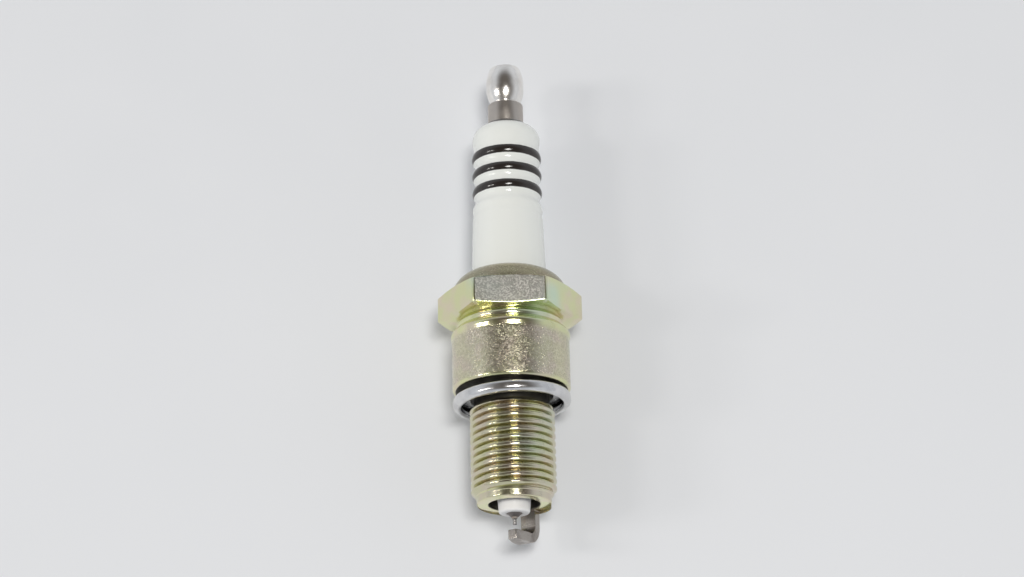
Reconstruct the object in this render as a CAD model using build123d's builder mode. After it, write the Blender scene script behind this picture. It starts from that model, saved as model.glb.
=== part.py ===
from build123d import *
from math import cos, radians, sin, tan
import os

# A resistor spark plug with a fine-wire centre electrode, in millimetres.
# The axis is Y: the terminal points to +Y and the firing end to -Y. The origin is on the axis, in the
# plane of the shell's seat. One hexagon flat faces +Z and its opposite faces -Z, so the plug lies flat.
# Every turned outline is a list of (radius, height along Y) points, revolved about the axis.

# --- driving dimensions -------------------------------------------------------------------------

# shell: thread, seat, body and hexagon
THREAD_PITCH = 1.25
THREAD_CREST = 6.95
THREAD_DEPTH = 0.77
THREAD_TURNS = 14
THREAD_TOP = -3.35
THREAD_REACH = 19.0
PILOT_RADIUS = 6.05
PILOT_LENGTH = 1.0
NECK_RADIUS = 6.15
BODY_RADIUS = 9.65
SHOULDER_RADIUS = 9.82
SHOULDER_TOP = 9.25
SEAT_CHAMFER = 0.4
WAIST_RADIUS = 8.85
WAIST_TOP = 11.25
HEX_ACROSS_FLATS = 20.8
HEX_BOTTOM = 11.9
HEX_TOP = 16.7
HEX_CORNER_DROP = 0.43
HEX_EDGE_ROUND = 0.75
CRIMP_TOP = 20.1

# shell bores
CHAMBER_RADIUS = 7.5
MIDDLE_BORE = 5.15
NOSE_BORE = 4.1
PACKING_HEIGHT = 0.45
SEAT_CONE_OFFSET = 10.4

# insulator
INSULATOR_TOP = 46.7
INSULATOR_NECK = 6.15
INSULATOR_FLANGE = 7.4
INSULATOR_MIDDLE = 5.0
RIB_CREST = 5.85
RIB_VALLEY = 5.35
RIB_PITCH = 3.08
TOP_RIB = 40.85
RIB_COUNT = 3
DOME_RADIUS = 5.7
DOME_FOOT = 44.3
NOSE_TIP = -20.5
NOSE_TIP_RADIUS = 2.52
SEAL_BORE = 2.0
ELECTRODE_BORE = 1.3
ELECTRODE_STEP = -4.6

# the column inside the insulator
LOWER_SEAL_TOP = 2.0
RESISTOR_TOP = 9.5
UPPER_SEAL_TOP = 15.0

# terminal stud and nut
STUD_RADIUS = 1.94
STUD_FLANGE_RADIUS = 3.5
STUD_FLANGE_TOP = 47.2
STUD_THREAD_PITCH = 0.7
STUD_THREAD_CREST = 1.98
STUD_THREAD_DEPTH = 0.43
STUD_THREAD_TURNS = 11
STUD_TOP = 55.4
NUT_BORE = 2.04
NUT_TOP = 57.8
NUT_COLLAR_RADIUS = 3.0
NUT_COLLAR_TOP = 50.8
NUT_WAIST_RADIUS = 2.45
NUT_WAIST = 51.3
NUT_BARREL_RADIUS = 3.175
NUT_BARREL_MIDDLE = 54.4
NUT_LAND_LENGTH = 0.8

# electrodes
ELECTRODE_RADIUS = 1.25
CORE_RADIUS = 0.65
WIRE_RADIUS = 0.325
WIRE_TIP = -22.3
WIRE_ROOT = -20.2
SPARK_GAP = 0.9
STRAP_WIDTH = 2.7
STRAP_THICKNESS = 1.6
STRAP_TIP_WIDTH = 1.5
STRAP_OVERHANG = 0.9
STRAP_BEND = 2.2
STRAP_ANGLE = -60.0

# gasket: a ring folded from thin sheet, held loosely on the neck
GASKET_SHEET = 0.36
GASKET_OUTER = 9.65
GASKET_LIP = 6.8
GASKET_FOLD = 8.3
GASKET_HEIGHT = 2.0
GASKET_TOP = -0.7
GASKET_TILT = 2.0

os.makedirs("parts", exist_ok=True)


def ring(inner, outer, bottom, top):
    """The section of a plain ring or tube, as closed corner points."""
    return [(inner, bottom), (outer, bottom), (outer, top), (inner, top)]


def cut_thread(root, crest, pitch, bottom, turns):
    """Cuts the groove of a 60 degree screw thread into a turned blank, one turn at a time."""
    half_bottom = pitch / 12
    overshoot = 0.1
    depth = crest - root + overshoot
    half_mouth = half_bottom + depth * tan(radians(30))
    for turn in range(turns):
        with BuildLine(mode=Mode.PRIVATE) as path:
            Helix(pitch, pitch, root, center=(0, bottom + turn * pitch, 0), direction=(0, 1, 0))
        start = path.line @ 0
        outward = Vector(start.X, 0, start.Z).normalized()
        with BuildSketch(Plane(start, x_dir=outward, z_dir=path.line % 0), mode=Mode.PRIVATE) as section:
            with BuildLine():
                Polyline(
                    (0, -half_bottom), (depth, -half_mouth), (depth, half_mouth), (0, half_bottom), close=True
                )
            make_face()
        sweep(section.sketch, path=path.line, is_frenet=True, mode=Mode.SUBTRACT)


# --- metal shell --------------------------------------------------------------------------------

thread_root = THREAD_CREST - THREAD_DEPTH
pilot_top = -THREAD_REACH + PILOT_LENGTH
hex_half = HEX_ACROSS_FLATS / 2
hex_corner = hex_half / cos(radians(30))
corner_slope = HEX_CORNER_DROP / (hex_corner - hex_half)
crimp_foot = 9.5
crimp_lip = 6.35
hex_top_inner = HEX_TOP + corner_slope * (hex_half - crimp_foot)
hex_bottom_inner = HEX_BOTTOM - corner_slope * (hex_half - WAIST_RADIUS)
chamber_top = 17.95
chamber_bottom = 3.6
middle_bore_top = chamber_bottom - (CHAMBER_RADIUS - MIDDLE_BORE)
seat_high = MIDDLE_BORE - SEAT_CONE_OFFSET - PACKING_HEIGHT
seat_low = NOSE_BORE - SEAT_CONE_OFFSET - PACKING_HEIGHT

# the hexagon, with its corners turned off to a shallow cone above and below
with BuildPart() as hexagon:
    with BuildSketch(Plane.XZ.offset(-hex_top_inner)):
        RegularPolygon(radius=hex_half, side_count=6, major_radius=False)
    extrude(amount=hex_top_inner - hex_bottom_inner)
    fillet(hexagon.edges().filter_by(Axis.Y), HEX_EDGE_ROUND)
    with BuildSketch():
        with BuildLine():
            Polyline(
                (0, hex_bottom_inner),
                (WAIST_RADIUS, hex_bottom_inner),
                (hex_corner + 0.1, HEX_BOTTOM + HEX_CORNER_DROP + 0.1 * corner_slope),
                (hex_corner + 0.1, HEX_TOP - HEX_CORNER_DROP - 0.1 * corner_slope),
                (crimp_foot, hex_top_inner),
                (0, hex_top_inner),
                close=True,
            )
        make_face()
    revolve(axis=Axis.Y, mode=Mode.INTERSECT)

with BuildPart() as metal_shell:
    # the turned blank: pilot, thread with its leads, neck, seat, body, waist and crimped rim
    with BuildSketch():
        with BuildLine():
            Polyline(
                (0, -THREAD_REACH),
                (PILOT_RADIUS - 0.2, -THREAD_REACH),
                (PILOT_RADIUS, -THREAD_REACH + 0.2),
                (PILOT_RADIUS, pilot_top),
                (THREAD_CREST, pilot_top + THREAD_CREST - PILOT_RADIUS),
                (THREAD_CREST, THREAD_TOP),
                (NECK_RADIUS, THREAD_TOP + THREAD_CREST - NECK_RADIUS),
                (NECK_RADIUS, -0.1),
                (NECK_RADIUS + 0.1, 0),
                (BODY_RADIUS - SEAT_CHAMFER, 0),
                (BODY_RADIUS, SEAT_CHAMFER),
                (BODY_RADIUS, SHOULDER_TOP - 0.85),
            )
            # the body swells slightly into its rounded shoulder
            Spline(
                (BODY_RADIUS, SHOULDER_TOP - 0.85),
                (SHOULDER_RADIUS, SHOULDER_TOP),
                tangents=[(0, 1), (0, 1)],
            )
            ThreePointArc(
                (SHOULDER_RADIUS, SHOULDER_TOP),
                (SHOULDER_RADIUS - 0.2, SHOULDER_TOP + 0.6),
                (WAIST_RADIUS + 0.1, WAIST_TOP - 1.1),
            )
            # the waist is hollowed up to a thin lip, with a small groove between it and the hexagon
            ThreePointArc(
                (WAIST_RADIUS + 0.1, WAIST_TOP - 1.1),
                (WAIST_RADIUS - 0.2, WAIST_TOP - 0.6),
                (WAIST_RADIUS, WAIST_TOP),
            )
            Polyline(
                (WAIST_RADIUS, WAIST_TOP),
                (WAIST_RADIUS - 0.25, WAIST_TOP + 0.08),
                (WAIST_RADIUS - 0.25, WAIST_TOP + 0.16),
                (WAIST_RADIUS + 0.05, hex_bottom_inner + 0.05 * corner_slope),
                (crimp_foot, hex_bottom_inner + 1),
                (crimp_foot, hex_top_inner),
            )
            ThreePointArc((crimp_foot, hex_top_inner), (8.35, 19.05), (crimp_lip, CRIMP_TOP))
            Polyline((crimp_lip, CRIMP_TOP), (0, CRIMP_TOP), (0, -THREAD_REACH))
        make_face()
    revolve(axis=Axis.Y)
    cut_thread(thread_root, THREAD_CREST, THREAD_PITCH, pilot_top - THREAD_PITCH / 2, THREAD_TURNS)
    add(hexagon.part)
    # the bores: rim mouth, packing chamber, middle bore, conical seat and nose bore
    with BuildSketch():
        with BuildLine():
            Polyline(
                (0, CRIMP_TOP + 1),
                (crimp_lip, CRIMP_TOP + 1),
                (crimp_lip, CRIMP_TOP - 0.75),
            )
            ThreePointArc(
                (crimp_lip, CRIMP_TOP - 0.75),
                (CHAMBER_RADIUS - 0.3, chamber_top + 0.75),
                (CHAMBER_RADIUS, chamber_top),
            )
            Polyline(
                (CHAMBER_RADIUS, chamber_top),
                (CHAMBER_RADIUS, chamber_bottom),
                (MIDDLE_BORE, middle_bore_top),
                (MIDDLE_BORE, seat_high),
                (NOSE_BORE, seat_low),
                (NOSE_BORE, -THREAD_REACH - 1),
                (0, -THREAD_REACH - 1),
                (0, CRIMP_TOP + 1),
            )
        make_face()
    revolve(axis=Axis.Y, mode=Mode.SUBTRACT)

metal_shell.part.label = "metal_shell"
export_step(metal_shell.part, "parts/metal_shell.step")

# --- insulator ----------------------------------------------------------------------------------

plain_rib = TOP_RIB - RIB_PITCH * RIB_COUNT
body_below_ribs = plain_rib - 1.8
flange_top = 10.25
flange_bottom = 3.9
seat_cone_high = INSULATOR_MIDDLE - SEAT_CONE_OFFSET
nose_root = 3.7
seat_cone_low = nose_root - SEAT_CONE_OFFSET
nose_tip_round = 0.5

with BuildPart() as insulator:
    with BuildSketch():
        with BuildLine():
            # the flat top and the dome below it
            Line((SEAL_BORE, INSULATOR_TOP), (3.9, INSULATOR_TOP))
            ThreePointArc(
                (3.9, INSULATOR_TOP),
                (5.2, INSULATOR_TOP - 0.95),
                (DOME_RADIUS, DOME_FOOT),
            )
            # the ribs: a smooth wave of valleys and crests, ending in a plain rib and a faint dip
            wave = [(DOME_RADIUS, DOME_FOOT), (DOME_RADIUS - 0.2, TOP_RIB + RIB_PITCH / 2)]
            for rib in range(RIB_COUNT):
                wave.append((RIB_CREST, TOP_RIB - RIB_PITCH * rib))
                wave.append((RIB_VALLEY, TOP_RIB - RIB_PITCH * (rib + 0.5)))
            wave.append((RIB_CREST, plain_rib))
            wave.append((RIB_CREST - 0.08, plain_rib - 0.9))
            wave.append((RIB_CREST + 0.02, body_below_ribs))
            Spline(wave, tangents=[(0, -1)] * len(wave))
            # the long body down into the shell, its flange, the seat cone and the firing nose
            Polyline(
                (RIB_CREST + 0.02, body_below_ribs),
                (INSULATOR_NECK, CRIMP_TOP),
                (INSULATOR_NECK, flange_top + INSULATOR_FLANGE - INSULATOR_NECK),
                (INSULATOR_FLANGE, flange_top),
                (INSULATOR_FLANGE, flange_bottom),
                (INSULATOR_MIDDLE, flange_bottom - (INSULATOR_FLANGE - INSULATOR_MIDDLE)),
                (INSULATOR_MIDDLE, seat_cone_high),
                (nose_root, seat_cone_low),
                (3.45, seat_cone_low - 1.2),
                (NOSE_TIP_RADIUS, NOSE_TIP + nose_tip_round),
            )
            ThreePointArc(
                (NOSE_TIP_RADIUS, NOSE_TIP + nose_tip_round),
                (NOSE_TIP_RADIUS - 0.15, NOSE_TIP + 0.15),
                (NOSE_TIP_RADIUS - nose_tip_round, NOSE_TIP),
            )
            # the stepped bore, back up to the top
            Polyline(
                (NOSE_TIP_RADIUS - nose_tip_round, NOSE_TIP),
                (ELECTRODE_BORE, NOSE_TIP),
                (ELECTRODE_BORE, ELECTRODE_STEP),
                (SEAL_BORE, ELECTRODE_STEP),
                (SEAL_BORE, INSULATOR_TOP),
            )
        make_face()
    revolve(axis=Axis.Y)
insulator.part.label = "insulator"
export_step(insulator.part, "parts/insulator.step")

# --- the column inside the insulator ------------------------------------------------------------

electrode_head_top = ELECTRODE_STEP + 1.0
electrode_knob_top = electrode_head_top + 1.0
electrode_knob = 1.1
stud_root_bottom = 13.0
stud_root_radius = 1.55

with BuildPart() as lower_glass_seal:
    with BuildSketch():
        with BuildLine():
            Polyline(
                (0, electrode_knob_top),
                (electrode_knob, electrode_knob_top),
                (electrode_knob, electrode_head_top),
                (SEAL_BORE, electrode_head_top),
                (SEAL_BORE, LOWER_SEAL_TOP),
                (0, LOWER_SEAL_TOP),
                close=True,
            )
        make_face()
    revolve(axis=Axis.Y)
lower_glass_seal.part.label = "lower_glass_seal"
export_step(lower_glass_seal.part, "parts/lower_glass_seal.step")

with BuildPart() as resistor:
    with BuildSketch():
        with BuildLine():
            Polyline(ring(0, SEAL_BORE, LOWER_SEAL_TOP, RESISTOR_TOP), close=True)
        make_face()
    revolve(axis=Axis.Y)
resistor.part.label = "resistor"
export_step(resistor.part, "parts/resistor.step")

with BuildPart() as upper_glass_seal:
    with BuildSketch():
        with BuildLine():
            Polyline(
                (0, RESISTOR_TOP),
                (SEAL_BORE, RESISTOR_TOP),
                (SEAL_BORE, UPPER_SEAL_TOP),
                (stud_root_radius, UPPER_SEAL_TOP),
                (stud_root_radius, stud_root_bottom),
                (0, stud_root_bottom),
                close=True,
            )
        make_face()
    revolve(axis=Axis.Y)
upper_glass_seal.part.label = "upper_glass_seal"
export_step(upper_glass_seal.part, "parts/upper_glass_seal.step")

# --- terminal stud and nut ----------------------------------------------------------------------

stud_thread_root = STUD_THREAD_CREST - STUD_THREAD_DEPTH
stud_relief_radius = 1.5

with BuildPart() as terminal_stud:
    # the grooved root held in the glass, the plain shaft, the flange and the blank of the screw
    groove_heights = [stud_root_bottom + 0.5 + 0.6 * step for step in range(3)]
    root_grooves = [
        corner
        for height in groove_heights
        for corner in (
            (stud_root_radius, height - 0.2),
            (stud_root_radius - 0.2, height),
            (stud_root_radius, height + 0.2),
        )
    ]
    with BuildSketch():
        with BuildLine():
            Polyline(
                (0, stud_root_bottom),
                (stud_root_radius, stud_root_bottom),
                *root_grooves,
                (stud_root_radius, UPPER_SEAL_TOP + 0.1),
                (STUD_RADIUS, UPPER_SEAL_TOP + 0.5),
                (STUD_RADIUS, INSULATOR_TOP),
                (STUD_FLANGE_RADIUS - 0.1, INSULATOR_TOP),
                (STUD_FLANGE_RADIUS, INSULATOR_TOP + 0.1),
                (STUD_FLANGE_RADIUS, STUD_FLANGE_TOP - 0.1),
                (STUD_FLANGE_RADIUS - 0.1, STUD_FLANGE_TOP),
                (stud_relief_radius, STUD_FLANGE_TOP),
                (stud_relief_radius, STUD_FLANGE_TOP + 0.6),
                (STUD_THREAD_CREST, STUD_FLANGE_TOP + 1.1),
                (STUD_THREAD_CREST, STUD_TOP - 0.7),
                (STUD_THREAD_CREST - 0.7, STUD_TOP),
                (0, STUD_TOP),
                close=True,
            )
        make_face()
    revolve(axis=Axis.Y)
    cut_thread(
        stud_thread_root, STUD_THREAD_CREST, STUD_THREAD_PITCH, STUD_FLANGE_TOP + 0.5, STUD_THREAD_TURNS
    )
terminal_stud.part.label = "terminal_stud"
export_step(terminal_stud.part, "parts/terminal_stud.step")

nut_bottom = STUD_FLANGE_TOP + 0.02
land_bottom = NUT_BARREL_MIDDLE - NUT_LAND_LENGTH / 2
land_top = NUT_BARREL_MIDDLE + NUT_LAND_LENGTH / 2
nut_bore_top = STUD_TOP + 0.3
nut_crown = 2.2

with BuildPart() as terminal_nut:
    with BuildSketch():
        with BuildLine():
            Polyline(
                (NUT_BORE + 0.25, nut_bottom),
                (NUT_COLLAR_RADIUS - 0.12, nut_bottom),
                (NUT_COLLAR_RADIUS, nut_bottom + 0.12),
                (NUT_COLLAR_RADIUS, NUT_COLLAR_TOP - 0.12),
                (NUT_COLLAR_RADIUS - 0.12, NUT_COLLAR_TOP),
                (NUT_WAIST_RADIUS, NUT_WAIST - 0.1),
                (NUT_WAIST_RADIUS, NUT_WAIST),
            )
            # the barrel swells from the waist to a short cylindrical land, then draws in to the crown
            ThreePointArc(
                (NUT_WAIST_RADIUS, NUT_WAIST),
                (NUT_BARREL_RADIUS - 0.135, land_bottom - 1.2),
                (NUT_BARREL_RADIUS, land_bottom),
            )
            Line((NUT_BARREL_RADIUS, land_bottom), (NUT_BARREL_RADIUS, land_top))
            ThreePointArc(
                (NUT_BARREL_RADIUS, land_top),
                (NUT_BARREL_RADIUS - 0.13, land_top + 1.3),
                (nut_crown + 0.45, NUT_TOP - 0.45),
            )
            ThreePointArc(
                (nut_crown + 0.45, NUT_TOP - 0.45),
                (nut_crown + 0.32, NUT_TOP - 0.14),
                (nut_crown, NUT_TOP),
            )
            Polyline(
                (nut_crown, NUT_TOP),
                (0, NUT_TOP),
                (0, nut_bore_top + 0.9),
                (NUT_BORE, nut_bore_top),
                (NUT_BORE, nut_bottom + 0.25),
                (NUT_BORE + 0.25, nut_bottom),
            )
        make_face()
    revolve(axis=Axis.Y)
terminal_nut.part.label = "terminal_nut"
export_step(terminal_nut.part, "parts/terminal_nut.step")

# --- centre electrode ---------------------------------------------------------------------------

core_bottom = -18.5
core_top = electrode_head_top - 0.4
cone_top = NOSE_TIP + 0.1
cone_bottom = -21.1
cone_end_radius = 0.55

with BuildPart() as centre_electrode:
    with BuildSketch():
        with BuildLine():
            Polyline(
                (0, electrode_knob_top),
                (electrode_knob, electrode_knob_top),
                (electrode_knob, electrode_head_top),
                (SEAL_BORE - 0.05, electrode_head_top),
                (SEAL_BORE - 0.05, ELECTRODE_STEP),
                (ELECTRODE_RADIUS, ELECTRODE_STEP),
                (ELECTRODE_RADIUS, cone_top),
                (cone_end_radius, cone_bottom),
                (WIRE_RADIUS, cone_bottom),
                (WIRE_RADIUS, WIRE_ROOT),
                (0, WIRE_ROOT),
                (0, core_bottom),
                (CORE_RADIUS, core_bottom + 0.4),
                (CORE_RADIUS, core_top),
                (0, core_top),
                close=True,
            )
        make_face()
    revolve(axis=Axis.Y)
centre_electrode.part.label = "centre_electrode"
export_step(centre_electrode.part, "parts/centre_electrode.step")

with BuildPart() as electrode_core:
    with BuildSketch():
        with BuildLine():
            Polyline(
                (0, core_bottom),
                (CORE_RADIUS, core_bottom + 0.4),
                (CORE_RADIUS, core_top),
                (0, core_top),
                close=True,
            )
        make_face()
    revolve(axis=Axis.Y)
electrode_core.part.label = "electrode_core"
export_step(electrode_core.part, "parts/electrode_core.step")

with BuildPart() as electrode_tip:
    with BuildSketch():
        with BuildLine():
            Polyline(
                (0, WIRE_TIP),
                (WIRE_RADIUS - 0.05, WIRE_TIP),
                (WIRE_RADIUS, WIRE_TIP + 0.05),
                (WIRE_RADIUS, WIRE_ROOT),
                (0, WIRE_ROOT),
                close=True,
            )
        make_face()
    revolve(axis=Axis.Y)
electrode_tip.part.label = "electrode_tip"
export_step(electrode_tip.part, "parts/electrode_tip.step")

with BuildPart() as tip_weld:
    bead_radius = cone_end_radius - 0.03
    bead_bottom = cone_bottom - 0.25
    with BuildSketch():
        with BuildLine():
            Polyline(
                (WIRE_RADIUS, cone_bottom),
                (bead_radius, cone_bottom),
                (bead_radius - 0.04, cone_bottom - 0.12),
                (WIRE_RADIUS + 0.02, bead_bottom),
                (WIRE_RADIUS, bead_bottom),
                close=True,
            )
        make_face()
    revolve(axis=Axis.Y)
tip_weld.part.label = "tip_weld"
export_step(tip_weld.part, "parts/tip_weld.step")

# --- packings that seal the insulator in the shell ----------------------------------------------

with BuildPart() as seat_packing:
    packing_inner = NOSE_BORE + 0.05
    packing_outer = INSULATOR_MIDDLE - 0.05
    insulator_side = SEAT_CONE_OFFSET
    shell_side = SEAT_CONE_OFFSET + PACKING_HEIGHT
    with BuildSketch():
        with BuildLine():
            Polyline(
                (packing_inner, packing_inner - shell_side),
                (packing_outer, packing_outer - shell_side),
                (packing_outer, packing_outer - insulator_side),
                (packing_inner, packing_inner - insulator_side),
                close=True,
            )
        make_face()
    revolve(axis=Axis.Y)
seat_packing.part.label = "seat_packing"
export_step(seat_packing.part, "parts/seat_packing.step")

wire_middle = (INSULATOR_NECK + CHAMBER_RADIUS) / 2
wire_radius = (CHAMBER_RADIUS - INSULATOR_NECK) / 2 - 0.015
lower_wire_height = 11.85
upper_wire_height = 17.1

for label, height in (("lower_wire_ring", lower_wire_height), ("upper_wire_ring", upper_wire_height)):
    with BuildPart() as wire_ring:
        with BuildSketch():
            with Locations((wire_middle, height)):
                Circle(wire_radius)
        revolve(axis=Axis.Y)
    wire_ring.part.label = label
    export_step(wire_ring.part, f"parts/{label}.step")

with BuildPart() as talc_fill:
    with BuildSketch():
        with BuildLine():
            Polyline(
                ring(
                    INSULATOR_NECK + 0.01,
                    CHAMBER_RADIUS - 0.01,
                    lower_wire_height + wire_radius,
                    upper_wire_height - wire_radius,
                ),
                close=True,
            )
        make_face()
    revolve(axis=Axis.Y)
talc_fill.part.label = "talc_fill"
export_step(talc_fill.part, "parts/talc_fill.step")

# --- ground electrode ---------------------------------------------------------------------------

strap_direction = Vector(cos(radians(STRAP_ANGLE)), 0, sin(radians(STRAP_ANGLE)))
strap_across = Vector(-strap_direction.Z, 0, strap_direction.X)
strap_radius = (NOSE_BORE + PILOT_RADIUS) / 2
strap_face = WIRE_TIP - SPARK_GAP
strap_middle = strap_face - STRAP_THICKNESS / 2
taper_length = 2.2

with BuildPart() as ground_electrode:
    # the strap's side view, bent from a straight bar, then given its width
    with BuildSketch(Plane((0, 0, 0), x_dir=strap_direction, z_dir=strap_across)):
        with BuildLine():
            FilletPolyline(
                (strap_radius, -THREAD_REACH),
                (strap_radius, strap_middle),
                (-STRAP_OVERHANG, strap_middle),
                radius=STRAP_BEND,
            )
        trace(line_width=STRAP_THICKNESS)
    extrude(amount=STRAP_WIDTH / 2, both=True)
    # both sides of the tip are cut off to a taper
    with BuildSketch(Plane((0, strap_face + 1, 0), x_dir=strap_direction, z_dir=(0, -1, 0))):
        with BuildLine():
            Polyline(
                (-STRAP_OVERHANG - 0.1, STRAP_TIP_WIDTH / 2),
                (taper_length - STRAP_OVERHANG, STRAP_WIDTH / 2 + 0.05),
                (-STRAP_OVERHANG - 0.1, STRAP_WIDTH / 2 + 0.05),
                close=True,
            )
        make_face()
        mirror(about=Plane.XZ)
    extrude(amount=STRAP_THICKNESS + 2, mode=Mode.SUBTRACT)
    # the bar's long corners are slightly rounded where it is drawn
    fillet(ground_electrode.faces().sort_by(Axis.Y)[0].edges().filter_by(GeomType.LINE), 0.12)
ground_electrode.part.label = "ground_electrode"
export_step(ground_electrode.part, "parts/ground_electrode.step")

flash_margin = 0.2
flash_height = 0.3

with BuildPart() as strap_weld:
    strap_root = strap_direction * strap_radius + Vector(0, -THREAD_REACH, 0)
    with BuildSketch(Plane(strap_root, x_dir=strap_direction, z_dir=(0, -1, 0))):
        RectangleRounded(STRAP_THICKNESS + 2 * flash_margin, STRAP_WIDTH + 2 * flash_margin, 0.3)
        Rectangle(STRAP_THICKNESS, STRAP_WIDTH, mode=Mode.SUBTRACT)
    extrude(amount=flash_height, taper=20)
strap_weld.part.label = "strap_weld"
export_step(strap_weld.part, "parts/strap_weld.step")

# --- gasket -------------------------------------------------------------------------------------

sheet_top = GASKET_TOP - GASKET_SHEET / 2
sheet_bottom = GASKET_TOP - GASKET_HEIGHT + GASKET_SHEET / 2
sheet_middle = (sheet_top + sheet_bottom) / 2
rim_line = GASKET_OUTER - GASKET_SHEET / 2
fold_line = GASKET_FOLD + GASKET_SHEET / 2

with BuildPart() as flat_gasket:
    with BuildSketch():
        with BuildLine():
            FilletPolyline(
                (GASKET_LIP, sheet_top),
                (rim_line, sheet_top),
                (rim_line, sheet_bottom),
                (fold_line, sheet_bottom),
                (fold_line, sheet_middle),
                (fold_line + 0.55, sheet_middle),
                radius=[0.5, 0.5, 0.25, 0.25],
            )
        trace(line_width=GASKET_SHEET)
    revolve(axis=Axis.Y)

with BuildPart() as gasket:
    add(flat_gasket.part.rotate(Axis((0, sheet_middle, 0), (0, 0, 1)), GASKET_TILT))
gasket.part.label = "gasket"
export_step(gasket.part, "parts/gasket.step")
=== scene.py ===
from math import cos, hypot, pi, radians, sin, tan, tau

import bmesh
import bpy
from mathutils import Matrix, Vector, noise


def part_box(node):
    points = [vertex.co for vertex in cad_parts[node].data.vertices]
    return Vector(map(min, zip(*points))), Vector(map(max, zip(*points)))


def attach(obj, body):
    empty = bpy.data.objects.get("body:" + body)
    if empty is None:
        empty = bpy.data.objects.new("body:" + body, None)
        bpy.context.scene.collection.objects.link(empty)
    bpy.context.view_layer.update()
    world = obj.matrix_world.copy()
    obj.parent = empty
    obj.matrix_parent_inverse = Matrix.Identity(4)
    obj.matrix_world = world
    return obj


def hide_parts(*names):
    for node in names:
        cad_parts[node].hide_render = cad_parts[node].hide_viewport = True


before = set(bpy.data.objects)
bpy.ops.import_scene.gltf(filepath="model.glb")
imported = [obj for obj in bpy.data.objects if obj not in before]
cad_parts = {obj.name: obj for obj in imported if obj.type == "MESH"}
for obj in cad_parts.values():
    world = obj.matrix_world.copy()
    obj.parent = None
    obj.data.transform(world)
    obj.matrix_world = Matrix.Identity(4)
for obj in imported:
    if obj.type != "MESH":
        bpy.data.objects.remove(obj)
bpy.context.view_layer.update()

# A spark plug lying on one flat of its hexagon: the axis is Y, the terminal points to +Y, and the
# origin is on the axis in the plane of the shell's seat. Outlines are in millimetres, as
# (radius, height along Y) points, and become metres when a mesh is made from them.

MM = 0.001
TURN_STEPS = 192
THREAD_STEPS = 96
WAVE_STEPS = 9
MERGE = 1e-7
SMOOTH_ANGLE = radians(32)
# the rolled crests are broad and round, so their flanks look steeper than a cut thread's
THREAD_FLANK = radians(23)


def low(node):
    """The lowest height along Y of a node, in millimetres."""
    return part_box(node)[0][1] / MM


def high(node):
    """The highest height along Y of a node, in millimetres."""
    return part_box(node)[1][1] / MM


def reach(node):
    """The largest radius of a round node, in millimetres."""
    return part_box(node)[1][2] / MM


# --- sizes ----------------------------------------------------------------------------------------

# shell
end_face = low("metal_shell")
crimp_top = high("metal_shell")
flat_radius = reach("metal_shell")
corner_radius = flat_radius / cos(radians(30))
pilot_radius = 6.05
pilot_top = end_face + 1
thread_crest = 6.95
thread_root = 6.2
thread_pitch = 1.25
thread_top = -3.35
neck_radius = 6.15
body_radius = 9.65
shoulder_radius = 9.82
shoulder_top = 9.25
waist_radius = 8.85
waist_top = 11.25
hex_bottom = 11.9
hex_top = 16.7
corner_drop = 0.43
hex_edge_round = 0.75
hex_edge_step = 6
crimp_foot = 9.5
crimp_lip = 6.35
nose_bore = 4.1

# insulator
insulator_top = high("insulator")
nose_tip = low("insulator")
flange_radius = reach("insulator")
insulator_neck = 6.15
rib_crest = 5.85
rib_valley = 5.35
rib_pitch = 3.08
top_rib = 40.85
rib_count = 3
dome_radius = 5.7
dome_foot = 44.3
band_width = 1.42
seal_bore = 2.0
electrode_bore = 1.3
seat_cone = 10.4

# terminal
stud_top = high("terminal_stud")
stud_flange_radius = reach("terminal_stud")
stud_flange_top = insulator_top + 0.5
nut_bottom = low("terminal_nut")
nut_top = high("terminal_nut")
nut_radius = reach("terminal_nut")
nut_collar_radius = 3.0
nut_collar_top = 50.8
nut_waist_radius = 2.45
nut_waist = 51.3
nut_middle = 54.4

# firing end
wire_radius = reach("electrode_tip")
wire_tip = low("electrode_tip")
spark_gap = 0.9
strap_width = 2.7
strap_thickness = 1.6
strap_tip_width = 1.5
strap_overhang = 0.9
strap_bend = 2.2
strap_turn = radians(60)

# gasket
gasket_sheet = 0.36
gasket_outer = reach("gasket")
gasket_lip = 6.8
gasket_fold = 8.3
gasket_top = -0.7
gasket_height = 2.0
gasket_tilt = radians(2)

floor_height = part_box("metal_shell")[0][2]


# --- shaping --------------------------------------------------------------------------------------


def rounded(corners, steps=5):
    """An outline whose corners, given as (radius, height, rounding), become arcs where rounding isn't 0."""
    points = []
    count = len(corners)
    for i, (x, y, rounding) in enumerate(corners):
        here = Vector((x, y))
        if rounding == 0:
            points.append(here)
            continue
        before = (Vector(corners[i - 1][:2]) - here).normalized()
        after = (Vector(corners[(i + 1) % count][:2]) - here).normalized()
        half = before.angle(after) / 2
        middle = here + (before + after).normalized() * rounding / sin(half)
        first = here + before * rounding / tan(half) - middle
        last = here + after * rounding / tan(half) - middle
        sweep = first.angle_signed(last)
        for step in range(steps + 1):
            turn = Matrix.Rotation(-sweep * step / steps, 2)
            points.append(middle + turn @ first)
    return points


def arc(start, through, end, steps=12):
    """Points of the circular arc from start through a middle point to end, with both ends."""
    a, b, c = Vector(start), Vector(through), Vector(end)
    twice = 2 * ((b - a).x * (c - a).y - (b - a).y * (c - a).x)
    ab, ac = (b - a).length_squared, (c - a).length_squared
    centre = a + Vector(
        (((c - a).y * ab - (b - a).y * ac) / twice, ((b - a).x * ac - (c - a).x * ab) / twice)
    )
    first, last = a - centre, c - centre
    sweep = first.angle_signed(last)
    return [centre + Matrix.Rotation(-sweep * step / steps, 2) @ first for step in range(steps + 1)]


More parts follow.
